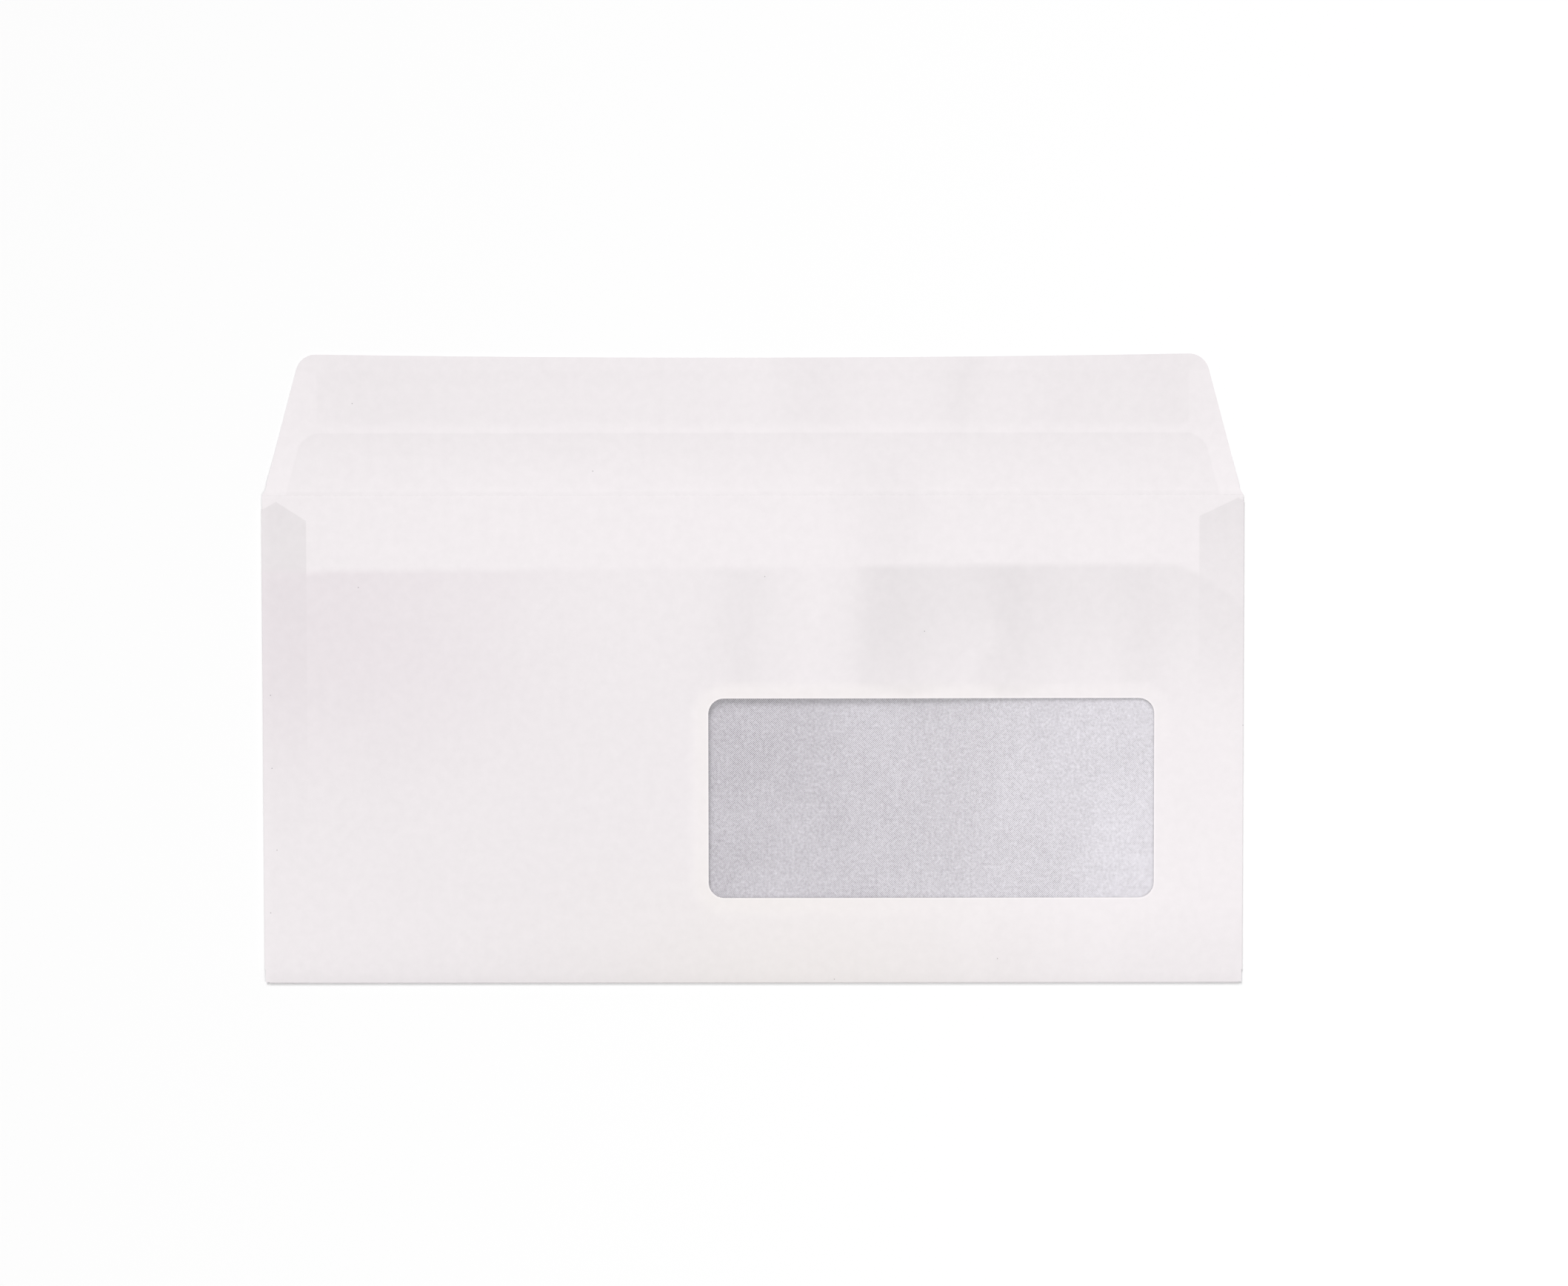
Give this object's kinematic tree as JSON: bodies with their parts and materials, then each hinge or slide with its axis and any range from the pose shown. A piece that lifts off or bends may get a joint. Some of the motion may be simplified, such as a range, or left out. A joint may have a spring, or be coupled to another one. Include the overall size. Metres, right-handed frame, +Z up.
{
  "type": "window envelope",
  "caption": "Long paper envelope with an open top flap, a clear film window low on the right, folded-in side flaps and a peel-off seal strip",
  "frame": {"origin": "under the middle of the opened envelope's outline, on the surface that it lies on", "axes": "X along the envelope's length with the window towards +X, +Y towards the open flap, +Z up out of the window side"},
  "size_m": [0.22, 0.1414, 0.0015],
  "materials": {
    "envelope_paper": "matte",
    "window_film": "gloss",
    "seal_adhesive": "satin",
    "liner_paper": "satin"
  },
  "bodies": {
    "root": {"envelope_sheet": "envelope_paper", "window_film": "window_film", "seal_adhesive": "seal_adhesive", "release_liner": "liner_paper"}
  },
  "joints": []
}
